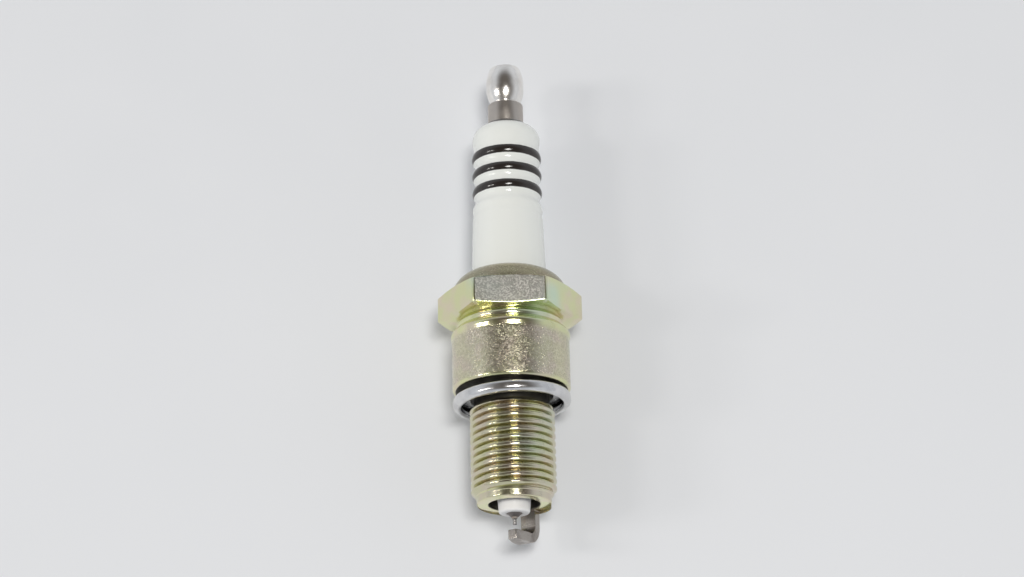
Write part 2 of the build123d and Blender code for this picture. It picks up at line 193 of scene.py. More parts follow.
def s_curve(start, end):
    """Points of a smooth swell from one (radius, height) to another, without the last."""
    points = []
    for step in range(WAVE_STEPS):
        part = step / WAVE_STEPS
        radius = start[0] + (end[0] - start[0]) * (1 - cos(pi * part)) / 2
        points.append(Vector((radius, start[1] + (end[1] - start[1]) * part)))
    return points


def turned(outline, closed=True):
    """A bmesh made by turning an outline once about the axis."""
    bm = bmesh.new()
    verts = [bm.verts.new((x * MM, y * MM, 0)) for x, y in outline]
    edges = [bm.edges.new(pair) for pair in zip(verts, verts[1:])]
    if closed:
        edges.append(bm.edges.new((verts[-1], verts[0])))
    bmesh.ops.spin(
        bm, geom=verts + edges, cent=(0, 0, 0), axis=(0, 1, 0), angle=tau, steps=TURN_STEPS, use_merge=True
    )
    bmesh.ops.remove_doubles(bm, verts=bm.verts, dist=MERGE)
    bmesh.ops.recalc_face_normals(bm, faces=bm.faces)
    return bm


def screw_thread(root, crest, pitch, bottom, turns, limit):
    """A right-hand ridge wound round a core. limit(height) is the largest radius allowed there."""
    half_root = pitch * 0.47
    half_crest = half_root - (crest - root) * tan(THREAD_FLANK)
    rounding = half_crest * 0.95
    ridge = rounded(
        [
            (root - 0.25, -half_root, 0),
            (root, -half_root, 0),
            (crest, -half_crest, rounding),
            (crest, half_crest, rounding),
            (root, half_root, 0),
            (root - 0.25, half_root, 0),
        ],
        steps=6,
    )
    bm = bmesh.new()
    verts = [bm.verts.new((x * MM, (y + bottom) * MM, 0)) for x, y in ridge]
    edges = [bm.edges.new(pair) for pair in zip(verts, verts[1:] + verts[:1])]
    bmesh.ops.spin(
        bm,
        geom=verts + edges,
        cent=(0, 0, 0),
        axis=(0, 1, 0),
        dvec=(0, pitch * MM / THREAD_STEPS, 0),
        angle=tau * turns,
        steps=THREAD_STEPS * turns,
    )
    bmesh.ops.holes_fill(bm, edges=[e for e in bm.edges if e.is_boundary], sides=0)
    for v in bm.verts:
        radius = hypot(v.co.x, v.co.z)
        most = limit(v.co.y / MM) * MM
        if radius > most:
            v.co.x *= most / radius
            v.co.z *= most / radius
    bmesh.ops.recalc_face_normals(bm, faces=bm.faces)
    return bm


def piece(name, bm, body, nodes, slot, *materials, even=True):
    """Makes an object of a bmesh, smooth except at its edges, parents it to its body and hides the CAD
    nodes it stands for.

    even keeps flat faces evenly shaded up to their rounded edges.
    """
    for face in bm.faces:
        face.smooth = True
    for edge in bm.edges:
        edge.smooth = edge.calc_face_angle(0) < SMOOTH_ANGLE
    mesh = bpy.data.meshes.new(name)
    bm.to_mesh(mesh)
    bm.free()
    for material in materials:
        mesh.materials.append(material)
    made = bpy.data.objects.new(name, mesh)
    bpy.context.collection.objects.link(made)
    if even:
        shading = made.modifiers.new("even_shading", "WEIGHTED_NORMAL")
        shading.weight = 100
        shading.keep_sharp = True
    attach(made, body)
    for node in nodes:
        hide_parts(node)
    return made


# --- material helpers -----------------------------------------------------------------------------


def add(tree, kind, inputs=None, **settings):
    """Adds a node, with its settings, and with values or links for its inputs."""
    made = tree.nodes.new(kind)
    for key, value in settings.items():
        setattr(made, key, value)
    for key, value in (inputs or {}).items():
        if isinstance(value, bpy.types.NodeSocket):
            tree.links.new(value, made.inputs[key])
        else:
            made.inputs[key].default_value = value
    return made


def maths(tree, operation, first, second=0.0, clamp=False):
    """The output of one Math node."""
    made = add(tree, "ShaderNodeMath", {0: first, 1: second}, operation=operation, use_clamp=clamp)
    return made.outputs[0]


def mixed(tree, factor, first, second):
    """The output of a node that mixes two colours."""
    made = add(tree, "ShaderNodeMix", {0: factor, 6: first, 7: second}, data_type="RGBA")
    return made.outputs[2]


def spread(tree, value, low_in, high_in, low_out=0.0, high_out=1.0):
    """The output of a node that stretches one range of values to another."""
    made = add(
        tree,
        "ShaderNodeMapRange",
        {0: value, 1: low_in, 2: high_in, 3: low_out, 4: high_out},
        interpolation_type="SMOOTHSTEP",
    )
    return made.outputs[0]


def new_group(name, inputs, outputs):
    """A shader node group with named inputs, given as name: value, and named float outputs."""
    tree = bpy.data.node_groups.new(name, "ShaderNodeTree")
    for key, value in inputs.items():
        socket = tree.interface.new_socket(name=key, in_out="INPUT", socket_type="NodeSocketFloat")
        socket.default_value = value
    for key in outputs:
        tree.interface.new_socket(name=key, in_out="OUTPUT", socket_type="NodeSocketFloat")
    return tree, tree.nodes.new("NodeGroupInput").outputs, tree.nodes.new("NodeGroupOutput").inputs


def use(tree, group, **inputs):
    """The outputs of a group placed in a material with its own values."""
    made = add(tree, "ShaderNodeGroup", node_tree=group)
    for key, value in inputs.items():
        made.inputs[key.replace("_", " ").capitalize()].default_value = value
    return made.outputs


def metal_or_ceramic(name, metallic, **constants):
    """A material with one Principled shader, and its constant sockets set on the shader itself."""
    material = bpy.data.materials.new(name)
    material.use_nodes = True
    tree = material.node_tree
    shader = tree.nodes["Principled BSDF"]
    shader.inputs["Metallic"].default_value = metallic
    for key, value in constants.items():
        shader.inputs[key.replace("_", " ")].default_value = value
    return material, tree, shader


def bump(tree, shader, height, depth):
    """Feeds a height, scaled to a depth in metres, to the shader's normal."""
    made = add(tree, "ShaderNodeBump", {"Strength": 1.0, "Distance": depth, "Height": height})
    tree.links.new(made.outputs[0], shader.inputs["Normal"])


def paint(tree, shader, colour, roughness):
    """Feeds a colour and a roughness to the shader."""
    tree.links.new(colour, shader.inputs["Base Color"])
    tree.links.new(roughness, shader.inputs["Roughness"])


def along_axis(tree):
    """The height along the plug's axis, in millimetres."""
    place = add(tree, "ShaderNodeTexCoord").outputs["Object"]
    parts = add(tree, "ShaderNodeSeparateXYZ", {0: place})
    return maths(tree, "DIVIDE", parts.outputs["Y"], MM)


# --- shared effects -------------------------------------------------------------------------------


def make_grain():
    """Fine metal grain: a height and bright flecks, at a grain size in millimetres."""
    tree, given, out = new_group("metal_grain", {"Grain size": 0.2}, ("Height", "Fleck", "Patch"))
    place = add(tree, "ShaderNodeTexCoord").outputs["Object"]
    scale = maths(tree, "DIVIDE", 1 / MM, given["Grain size"])
    fine = add(tree, "ShaderNodeTexNoise", {"Vector": place, "Scale": scale, "Detail": 2.0})
    cells = add(tree, "ShaderNodeTexVoronoi", {"Vector": place, "Scale": scale})
    grey = add(tree, "ShaderNodeSeparateColor", {0: cells.outputs["Color"]}).outputs[0]
    both = maths(tree, "ADD", maths(tree, "MULTIPLY", grey, 0.45), fine.outputs[0])
    tree.links.new(both, out["Height"])
    tree.links.new(spread(tree, grey, 0.3, 0.95), out["Fleck"])
    patches = add(
        tree, "ShaderNodeTexNoise", {"Vector": place, "Scale": maths(tree, "MULTIPLY", scale, 0.06)}
    )
    tree.links.new(spread(tree, patches.outputs[0], 0.38, 0.66), out["Patch"])
    return tree


def make_turning():
    """Fine rings left by turning: noise drawn out round the axis, at a ring width in millimetres."""
    tree, given, out = new_group("turning_lines", {"Ring width": 0.08}, ("Height", "Smudge"))
    place = add(tree, "ShaderNodeTexCoord").outputs["Object"]
    parts = add(tree, "ShaderNodeSeparateXYZ", {0: place})
    square_x = maths(tree, "MULTIPLY", parts.outputs["X"], parts.outputs["X"])
    square_z = maths(tree, "MULTIPLY", parts.outputs["Z"], parts.outputs["Z"])
    radius = maths(tree, "SQRT", maths(tree, "ADD", square_x, square_z))
    section = add(tree, "ShaderNodeCombineXYZ", {0: radius, 1: parts.outputs["Y"]}).outputs[0]
    scale = maths(tree, "DIVIDE", 1 / MM, given["Ring width"])
    rings = add(tree, "ShaderNodeTexNoise", {"Vector": section, "Scale": scale, "Detail": 1.0})
    smudge = add(tree, "ShaderNodeTexNoise", {"Vector": place, "Scale": 450.0, "Detail": 4.0})
    tree.links.new(rings.outputs[0], out["Height"])
    tree.links.new(spread(tree, smudge.outputs[0], 0.35, 0.7), out["Smudge"])
    return tree


grain = make_grain()
turning = make_turning()


# --- materials ------------------------------------------------------------------------------------


def zinc_plate(name, grain_size, depth, smooth, rough, greyness, greys, grain_ends=None):
    """Zinc plate under a pale film that drifts in colour, with grey speckled grain where given; on the
    crimp and on the flats facing up and down, the grey is painted shade.
    """
    material, tree, shader = metal_or_ceramic(name, 1.0)
    effect = use(tree, grain, grain_size=grain_size)
    film = mixed(tree, effect["Patch"], (0.74, 0.75, 0.44, 1), (0.78, 0.70, 0.52, 1))
    place = add(tree, "ShaderNodeTexCoord").outputs["Object"]
    drift = add(tree, "ShaderNodeTexNoise", {"Vector": place, "Scale": 110.0, "Detail": 1.0})
    film = mixed(tree, spread(tree, drift.outputs[0], 0.52, 0.8), film, (0.62, 0.77, 0.60, 1))
    grained = 1.0
    if grain_ends:
        height = along_axis(tree)
        lower, upper = grain_ends
        grained = maths(
            tree,
            "MULTIPLY",
            spread(tree, height, lower - 0.3, lower + 0.3),
            spread(tree, height, upper + 0.6, upper - 0.6),
        )
    grey = maths(tree, "MULTIPLY", grained, greyness)
    film = mixed(tree, grey, film, mixed(tree, effect["Fleck"], *greys))
    gloss = maths(tree, "MULTIPLY", maths(tree, "MULTIPLY", effect["Fleck"], grained), 0.08)
    paint(tree, shader, film, maths(tree, "ADD", spread(tree, grey, 0.0, 1.0, smooth, rough), gloss))
    bump(tree, shader, maths(tree, "MULTIPLY", effect["Height"], grained), depth)
    return material


def glazed_ceramic():
    """Glazed white alumina with dark painted bands on the ribs and an unglazed firing nose."""
    material, tree, shader = metal_or_ceramic("glazed_ceramic", 0.0, IOR=1.55)
    height = along_axis(tree)
    place = add(tree, "ShaderNodeTexCoord").outputs["Object"]
    waver = add(tree, "ShaderNodeTexNoise", {"Vector": place, "Scale": 700.0}).outputs[0]
    band = maths(tree, "MULTIPLY", 0.0, 0.0)
    for rib in range(rib_count):
        away = maths(tree, "ABSOLUTE", maths(tree, "SUBTRACT", height, top_rib - rib_pitch * rib))
        away = maths(tree, "ADD", away, maths(tree, "MULTIPLY", waver, 0.12))
        edge = band_width / 2 + 0.06
        band = maths(tree, "ADD", band, spread(tree, away, edge + 0.05, edge - 0.05), clamp=True)
    cloud = add(tree, "ShaderNodeTexNoise", {"Vector": place, "Scale": 120.0, "Detail": 3.0}).outputs[0]
    white = mixed(tree, cloud, (0.82, 0.84, 0.80, 1), (0.86, 0.875, 0.85, 1))
    bare = spread(tree, height, -5.0, -7.0)
    white = mixed(tree, bare, white, (0.88, 0.87, 0.86, 1))
    colour = mixed(tree, band, white, (0.022, 0.017, 0.015, 1))
    sheen = maths(tree, "ADD", maths(tree, "MULTIPLY", cloud, 0.06), 0.05)
    rough = maths(tree, "ADD", sheen, maths(tree, "MULTIPLY", bare, 0.45))
    paint(tree, shader, colour, maths(tree, "ADD", rough, maths(tree, "MULTIPLY", band, 0.06)))
    bump(tree, shader, maths(tree, "ADD", waver, maths(tree, "MULTIPLY", band, 1.5)), 0.000008)
    return material


def bright_nickel():
    """Nickel plate on the terminal nut: bright on the barrel and duller on the collar."""
    material, tree, shader = metal_or_ceramic("bright_nickel", 1.0)
    effect = use(tree, turning, ring_width=0.12)
    collar = spread(tree, along_axis(tree), nut_collar_top + 0.2, nut_collar_top - 0.1)
    colour = mixed(tree, effect["Smudge"], (0.92, 0.90, 0.87, 1), (0.82, 0.79, 0.75, 1))
    colour = mixed(tree, collar, colour, (0.50, 0.46, 0.42, 1))
    rough = maths(tree, "ADD", maths(tree, "MULTIPLY", effect["Smudge"], 0.08), 0.17)
    paint(tree, shader, colour, maths(tree, "ADD", rough, maths(tree, "MULTIPLY", collar, 0.14)))
    bump(tree, shader, effect["Height"], 0.000012)
    return material


def plain_metal(name, light, dark, ring_width, depth, smooth, rough):
    """A turned or drawn metal whose colour and gloss drift between two finishes."""
    material, tree, shader = metal_or_ceramic(name, 1.0)
    effect = use(tree, turning, ring_width=ring_width)
    paint(
        tree,
        shader,
        mixed(tree, effect["Smudge"], light, dark),
        spread(tree, effect["Smudge"], 0.0, 1.0, smooth, rough),
    )
    bump(tree, shader, effect["Height"], depth)
    return material


def grainy_metal(name, light, dark, grain_size, depth, smooth, rough, metallic=1.0):
    """A drawn, welded or pressed material with an even grain and darker patches."""
    material, tree, shader = metal_or_ceramic(name, metallic)
    effect = use(tree, grain, grain_size=grain_size)
    paint(
        tree,
        shader,
        mixed(tree, effect["Patch"], light, dark),
        spread(tree, effect["Patch"], 0.0, 1.0, smooth, rough),
    )
    bump(tree, shader, effect["Height"], depth)
    return material


brown_grey = (0.44, 0.38, 0.34, 1), (0.72, 0.65, 0.60, 1)
# painted shade: darker greys for the hexagon flats facing straight up and down, while the side flats keep
# the pale film
top_flat_shade_greys = (0.36, 0.36, 0.34, 1), (0.62, 0.61, 0.58, 1)
# painted shade: a dark olive for the crimp dome, standing in for the dark reflection it shows
crimp_shade_olive = (0.29, 0.25, 0.17, 1), (0.37, 0.33, 0.23, 1)
thread_grey = (0.50, 0.44, 0.41, 1), (0.56, 0.50, 0.46, 1)
zinc_body = zinc_plate("zinc_body", 0.19, 0.00003, 0.17, 0.25, 0.55, brown_grey, (0.5, shoulder_top - 0.8))
# painted shade: the flats facing up and down are greyer and darker than the side flats; only the grain on
# them is the metal's own
zinc_top_flat_painted_shade = zinc_plate("zinc_top_flat_painted_shade", 0.19, 0.00003, 0.20, 0.30, 0.9, top_flat_shade_greys)
# painted shade: the crimp dome is made darker than the rest of the plated film
zinc_crimp_painted_shade = zinc_plate("zinc_crimp_painted_shade", 0.2, 0.0000005, 0.15, 0.2, 0.85, crimp_shade_olive)
zinc_thread = zinc_plate("zinc_thread", 0.20, 0.0000003, 0.15, 0.18, 0.4, thread_grey)
ceramic = glazed_ceramic()
nickel = bright_nickel()
stud_metal = plain_metal(
    "stud_plate", (0.34, 0.33, 0.32, 1), (0.24, 0.22, 0.21, 1), 0.12, 0.000003, 0.25, 0.4
)
gasket_plate = plain_metal(
    "gasket_plate", (0.76, 0.76, 0.76, 1), (0.62, 0.62, 0.63, 1), 0.14, 0.000005, 0.15, 0.26
)
strap_metal = grainy_metal(
    "strap_nickel", (0.40, 0.37, 0.34, 1), (0.25, 0.22, 0.20, 1), 0.16, 0.000004, 0.25, 0.38
)
electrode_metal = plain_metal(
    "electrode_nickel", (0.20, 0.18, 0.17, 1), (0.12, 0.105, 0.10, 1), 0.10, 0.000003, 0.3, 0.45
)
wire_metal = plain_metal(
    "fine_wire", (0.34, 0.33, 0.32, 1), (0.24, 0.23, 0.22, 1), 0.05, 0.000002, 0.2, 0.35
)
weld_metal = grainy_metal(
    "weld_bead", (0.48, 0.42, 0.37, 1), (0.25, 0.20, 0.17, 1), 0.22, 0.000015, 0.25, 0.45
)
copper = plain_metal("soft_copper", (0.86, 0.48, 0.33, 1), (0.60, 0.30, 0.20, 1), 0.1, 0.000003, 0.25, 0.4)
seal_glass = grainy_metal(
    "seal_glass", (0.16, 0.13, 0.11, 1), (0.36, 0.20, 0.13, 1), 0.12, 0.000006, 0.3, 0.5, metallic=0.0
)
resistor_mix = grainy_metal(
    "resistor_mix", (0.07, 0.07, 0.07, 1), (0.16, 0.15, 0.14, 1), 0.15, 0.000008, 0.6, 0.8, metallic=0.0
)
# painted shade: a dark plate for the bores, the seat face and the neck, where the hollows lie in shade
recess_painted_shade = grainy_metal(
    "recess_painted_shade", (0.20, 0.19, 0.16, 1), (0.10, 0.095, 0.085, 1), 0.2, 0.000004, 0.35, 0.5
)
packing_steel = plain_metal(
    "packing_steel", (0.55, 0.55, 0.55, 1), (0.40, 0.39, 0.38, 1), 0.12, 0.000003, 0.3, 0.45
)
talc = grainy_metal(
    "pressed_talc", (0.80, 0.79, 0.75, 1), (0.70, 0.68, 0.64, 1), 0.1, 0.00001, 0.8, 0.95, metallic=0.0
)


# --- shell ----------------------------------------------------------------------------------------


def make_shell():
    """The turned and milled shell, with its bores, and flats on the hexagon."""
    slope = corner_drop / (corner_radius - flat_radius)
    blank = corner_radius + 0.05
    top_inner = hex_top + slope * (flat_radius - crimp_foot)
    bottom_inner = hex_bottom - slope * (flat_radius - waist_radius)
    chamber = 7.5
    chamber_top = 17.95
    chamber_bottom = 3.6
    middle_bore = 5.15
    packing = 0.45
    shank = rounded(
        [
            (nose_bore, end_face, 0.12),
            (pilot_radius, end_face, 0.25),
            (pilot_radius, pilot_top, 0.1),
            (thread_root, pilot_top + 0.1, 0),
            (thread_root, thread_top + 0.6, 0),
            (neck_radius, thread_top + 0.7, 0),
            (neck_radius, 0, 0.15),
            (body_radius, 0, 0.45),
            (body_radius, shoulder_top - 0.9, 0),
        ]
    )
    swell = s_curve((body_radius, shoulder_top - 0.85), (shoulder_radius, shoulder_top))
    waist_foot = (waist_radius + 0.1, waist_top - 1.1)
    bead = arc((shoulder_radius, shoulder_top), (shoulder_radius - 0.2, shoulder_top + 0.6), waist_foot)
    hollow = arc(waist_foot, (waist_radius - 0.2, waist_top - 0.6), (waist_radius, waist_top))
    hexagon = rounded(
        [
            (waist_radius, waist_top + 0.01, 0),
            (waist_radius - 0.25, waist_top + 0.12, 0.03),
            (waist_radius + 0.05, bottom_inner + slope * 0.05, 0.03),
            (blank, hex_bottom + slope * (blank - flat_radius), 0),
            (blank, hex_top - slope * (blank - flat_radius), 0),
        ]
    )
    rim = arc((crimp_foot, top_inner), (8.35, 19.05), (crimp_lip + 0.12, crimp_top - 0.02))
    inside = rounded(
        [
            (crimp_lip, crimp_top - 0.12, 0),
            (crimp_lip, crimp_top - 0.75, 0),
            (chamber - 0.3, chamber_top + 0.75, 0.3),
            (chamber, chamber_top, 0),
            (chamber, chamber_bottom, 0),
            (middle_bore, chamber_bottom - (chamber - middle_bore), 0),
            (middle_bore, middle_bore - seat_cone - packing, 0),
            (nose_bore, nose_bore - seat_cone - packing, 0),
        ]
    )
    bm = turned(shank + swell + bead + hollow + hexagon + rim + inside)
    # one plane for each flat, and a fan of planes round each corner between them
    corner_middle = (flat_radius - hex_edge_round) / cos(radians(30))
    for degrees in sorted(range(0, 360, hex_edge_step), key=lambda turn: turn % 60 != 30):
        outward = Vector((cos(radians(degrees)), 0, sin(radians(degrees))))
        from_corner = (degrees + 30) % 60 - 30
        away = corner_middle * cos(radians(from_corner)) + hex_edge_round
        everything = bm.verts[:] + bm.edges[:] + bm.faces[:]
        cut = bmesh.ops.bisect_plane(
            bm, geom=everything, plane_co=outward * away * MM, plane_no=outward, clear_outer=True
        )
        rim_edges = [g for g in cut["geom_cut"] if isinstance(g, bmesh.types.BMEdge)]
        bmesh.ops.contextual_create(bm, geom=rim_edges)
    bmesh.ops.recalc_face_normals(bm, faces=bm.faces)
    bm.normal_update()

    def on_hexagon(face):
        middle = face.calc_center_median()
        return abs(face.normal.y) < 0.01 and hypot(middle.x, middle.z) > 1.03 * body_radius * MM

    sides = [face for face in bm.faces if on_hexagon(face)]
    # painted shade: the flats facing straight up and down take the darker grey top-flat material
    for face in sides:
        if abs(face.normal.z) > 0.99 and face.calc_area() > 10 * MM * MM:
            face.material_index = 2
    rims = {edge for face in sides for edge in face.edges if abs(edge.calc_face_angle(0)) > radians(40)}
    bmesh.ops.bevel(
        bm, geom=list(rims), offset=0.12 * MM, segments=2, affect="EDGES", profile=0.5, material=0
    )
    bm.normal_update()
    for face in bm.faces:
        middle = face.calc_center_median()
        radius = hypot(middle.x, middle.z) / MM
        inward = face.normal.x * middle.x + face.normal.z * middle.z < -1e-6
        under_seat = face.normal.y < -0.99 and -0.1 < middle.y / MM < 0.1
        on_neck = thread_top < middle.y / MM < 0.1 and radius < neck_radius + 0.2
        # painted shade: the bores, the face under the seat and the neck take the dark recess material
        if inward or under_seat or on_neck:
            face.material_index = 1
        # painted shade: the crimp dome above the hexagon takes the dark olive material
        elif middle.y / MM > hex_top + 0.15 and radius < crimp_foot:
            face.material_index = 3
        elif end_face + 0.1 < middle.y / MM < pilot_top + 0.2:
            face.material_index = 4
    materials = zinc_body, recess_painted_shade, zinc_top_flat_painted_shade, zinc_crimp_painted_shade, zinc_thread
    piece("shell_body", bm, "plug", ["metal_shell"], "zinc_plate", *materials)


def make_shell_thread():
    """The shell's screw thread, its ends run down to the pilot and the neck."""

    def limit(height):
        at_pilot = pilot_radius - 0.1 + max(0, height - pilot_top)
        at_neck = neck_radius - 0.1 + max(0, thread_top + 0.8 - height)
        return min(at_pilot, at_neck)

    turns = 13
    start = thread_top + 0.55 - turns * thread_pitch
    bm = screw_thread(thread_root, thread_crest, thread_pitch, start, turns, limit)
    piece("shell_thread", bm, "plug", ["metal_shell"], "zinc_plate", zinc_thread, even=False)


# --- insulator ------------------------------------------------------------------------------------


def make_insulator():
    """The insulator: flat top, dome, waved ribs, long body, flange, cone, nose and stepped bore."""
    plain_rib = top_rib - rib_pitch * rib_count
    turns = [(dome_radius, dome_foot), (dome_radius - 0.2, top_rib + rib_pitch / 2)]
    for rib in range(rib_count):
        turns.append((rib_crest, top_rib - rib_pitch * rib))
        turns.append((rib_valley, top_rib - rib_pitch * (rib + 0.5)))
    turns.append((rib_crest, plain_rib))
    turns.append((rib_crest - 0.08, plain_rib - 0.9))
    turns.append((rib_crest + 0.02, plain_rib - 1.8))
    wave = []
    for above, below in zip(turns, turns[1:]):
        wave += s_curve(above, below)
    dome = arc((3.9, insulator_top), (5.2, insulator_top - 0.95), (dome_radius, dome_foot + 0.05), 14)
    flange_top = 10.25
    flange_bottom = 3.9
    cone = 5.0
    nose_root = 3.7
    below = rounded(
        [
            (rib_crest + 0.02, plain_rib - 1.8, 0),
            (insulator_neck, crimp_top, 0),
            (insulator_neck, flange_top + flange_radius - insulator_neck, 0.3),
            (flange_radius, flange_top, 0.3),
            (flange_radius, flange_bottom, 0.3),
            (cone, flange_bottom - (flange_radius - cone), 0.3),
            (cone, cone - seat_cone, 0),
            (nose_root, nose_root - seat_cone, 0.2),
            (3.45, nose_root - seat_cone - 1.2, 0.3),
            (2.52, nose_tip, 0.48),
            (electrode_bore, nose_tip, 0.1),
            (electrode_bore, low("lower_glass_seal"), 0),
            (seal_bore, low("lower_glass_seal"), 0),
            (seal_bore, insulator_top, 0.1),
        ]
    )
    bm = turned(dome + wave + below)
    piece("insulator_body", bm, "plug", ["insulator"], "glazed_insulator", ceramic)


# --- terminal -------------------------------------------------------------------------------------


def make_terminal_nut():
    """The barrel terminal nut, hollow so that it clears the stud."""
    bore = 2.04
    crown = 2.2
    bore_top = stud_top + 0.3
    land = 0.4
    top = rounded(
        [
            (0, nut_top, 0),
            (crown, nut_top, 0.3),
            (crown + 0.34, nut_top - 0.16, 0.3),
            (crown + 0.46, nut_top - 0.48, 0),
        ]
    )
    draw_in = arc(
        (crown + 0.47, nut_top - 0.5),
        (nut_radius - 0.13, nut_middle + 1.7),
        (nut_radius, nut_middle + land),
    )
    swell = arc(
        (nut_radius, nut_middle - land),
        (nut_radius - 0.135, nut_middle - 1.6),
        (nut_waist_radius + 0.01, nut_waist + 0.02),
    )
    collar = rounded(
        [
            (nut_waist_radius, nut_waist, 0),
            (nut_waist_radius, nut_waist - 0.1, 0.1),
            (nut_collar_radius - 0.02, nut_collar_top, 0.12),
            (nut_collar_radius, nut_bottom, 0.12),
            (bore, nut_bottom, 0.2),
            (bore, bore_top, 0),
            (0, bore_top + 0.9, 0),
        ]
    )
    bm = turned(top + draw_in + swell + collar, closed=False)
    piece("barrel_nut", bm, "nut", ["terminal_nut"], "nickel_terminal", nickel)


def make_stud():
    """The stud's flange, shaft and root, and its screw thread."""
    crest = 1.98
    root = 1.56
    shaft = 1.94
    outline = rounded(
        [
            (1.55, low("terminal_stud"), 0.1),
            (1.55, low("terminal_stud") + 2.1, 0),
            (shaft, low("terminal_stud") + 2.5, 0),
            (shaft, insulator_top, 0),
            (stud_flange_radius, insulator_top, 0.1),
            (stud_flange_radius, stud_flange_top, 0.12),
            (root, stud_flange_top, 0.1),
            (root, stud_top - 0.3, 0.05),
            (1.28, stud_top, 0.05),
        ]
    )
    ends = [Vector((0, low("terminal_stud")))], [Vector((0, stud_top))]
    bm = turned(ends[0] + outline + ends[1], closed=False)
    piece("stud_body", bm, "plug", ["terminal_stud"], "stud_steel", stud_metal)

    def limit(height):
        return min(root - 0.05 + max(0, height - stud_flange_top - 0.6), 1.2 + max(0, stud_top - height))

    bm = screw_thread(root, crest, 0.7, stud_flange_top + 0.5, 11, limit)
    piece("stud_thread", bm, "plug", ["terminal_stud"], "stud_steel", stud_metal, even=False)


# --- electrodes -----------------------------------------------------------------------------------


def make_centre_electrode():
    """The nickel electrode with its head and cone, the fine wire and the weld between them."""
    step = low("lower_glass_seal") - 1.0
    cone_end = -21.1
    column = rounded(
        [
            (1.1, step + 2.0, 0.1),
            (1.1, step + 1.0, 0),
            (1.95, step + 1.0, 0.1),
            (1.95, step, 0.1),
            (1.25, step, 0),
            (1.25, nose_tip + 0.1, 0.08),
            (0.55, cone_end, 0.05),
        ]
    )
    ends = [Vector((0, step + 2.0))], [Vector((0, cone_end))]
    bm = turned(ends[0] + column + ends[1], closed=False)
    piece("electrode_body", bm, "plug", ["centre_electrode"], "electrode_nickel", electrode_metal)

    wire_root = cone_end + 0.3
    wire = rounded(
        [
            (0, wire_root, 0),
            (wire_radius, wire_root, 0),
            (wire_radius, wire_tip, 0.06),
            (0, wire_tip, 0),
        ]
    )
    bm = turned(wire, closed=False)
    piece("electrode_wire", bm, "plug", ["electrode_tip"], "fine_wire", wire_metal)

    bead = arc(
        (0.52, cone_end + 0.04),
        (wire_radius + 0.14, cone_end - 0.13),
        (wire_radius, cone_end - 0.25),
    )
    bm = turned(bead + [Vector((wire_radius, cone_end + 0.04))])
    piece("wire_weld", bm, "plug", ["tip_weld"], "weld", weld_metal)


def make_ground_strap():
    """The ground strap: a flat bar standing on the end face, bent over the wire, tapered at its tip."""
    root = (nose_bore + pilot_radius) / 2
    face = wire_tip - spark_gap
    taper = 2.2
    turn = Matrix.Rotation(strap_turn, 4, "Y")

    outline = rounded(
        [
            (root + strap_thickness / 2, end_face, 0),
            (root + strap_thickness / 2, face - strap_thickness, strap_bend + strap_thickness / 2),
            (-strap_overhang, face - strap_thickness, 0),
            (-strap_overhang, face, 0),
            (root - strap_thickness / 2, face, strap_bend - strap_thickness / 2),
            (root - strap_thickness / 2, end_face, 0),
        ],
        steps=12,
    )
    bm = bmesh.new()
    side = bm.faces.new([bm.verts.new((x * MM, y * MM, -strap_width / 2 * MM)) for x, y in outline])
    grown = bmesh.ops.extrude_face_region(bm, geom=[side])["geom"]
    across = [g for g in grown if isinstance(g, bmesh.types.BMVert)]
    bmesh.ops.translate(bm, verts=across, vec=(0, 0, strap_width * MM))
    bmesh.ops.bisect_plane(
        bm,
        geom=bm.verts[:] + bm.edges[:] + bm.faces[:],
        plane_co=((taper - strap_overhang) * MM, 0, 0),
        plane_no=(1, 0, 0),
    )
    for v in bm.verts:
        if v.co.x < (0.01 - strap_overhang) * MM:
            v.co.z *= strap_tip_width / strap_width
    bmesh.ops.recalc_face_normals(bm, faces=bm.faces)
    corners = [edge for edge in bm.edges if edge.calc_face_angle(0) > radians(40)]
    bmesh.ops.bevel(
        bm, geom=corners, offset=0.16 * MM, segments=3, affect="EDGES", profile=0.5, material=-1
    )
    bmesh.ops.transform(bm, matrix=turn, verts=bm.verts)
    piece("ground_strap", bm, "plug", ["ground_electrode"], "strap_nickel", strap_metal)

    # the weld flash squeezed out round the strap's root
    bm = bmesh.new()
    bmesh.ops.create_cube(bm, size=1)
    flash = ((strap_thickness + 0.36) * MM, 0.3 * MM, (strap_width + 0.36) * MM)
    bmesh.ops.scale(bm, verts=bm.verts, vec=flash)
    bmesh.ops.bevel(
        bm, geom=bm.edges[:], offset=0.12 * MM, segments=3, affect="EDGES", profile=0.5, material=-1
    )
    bmesh.ops.subdivide_edges(bm, edges=bm.edges[:], cuts=3, use_grid_fill=True)
    bmesh.ops.translate(bm, verts=bm.verts, vec=(root * MM, (end_face - 0.12) * MM, 0))
    bmesh.ops.transform(bm, matrix=turn, verts=bm.verts)
    for v in bm.verts:
        v.co += v.normal * noise.noise(v.co * 2500) * 0.06 * MM
    piece("strap_flash", bm, "plug", ["strap_weld"], "weld", weld_metal)


# --- gasket ---------------------------------------------------------------------------------------


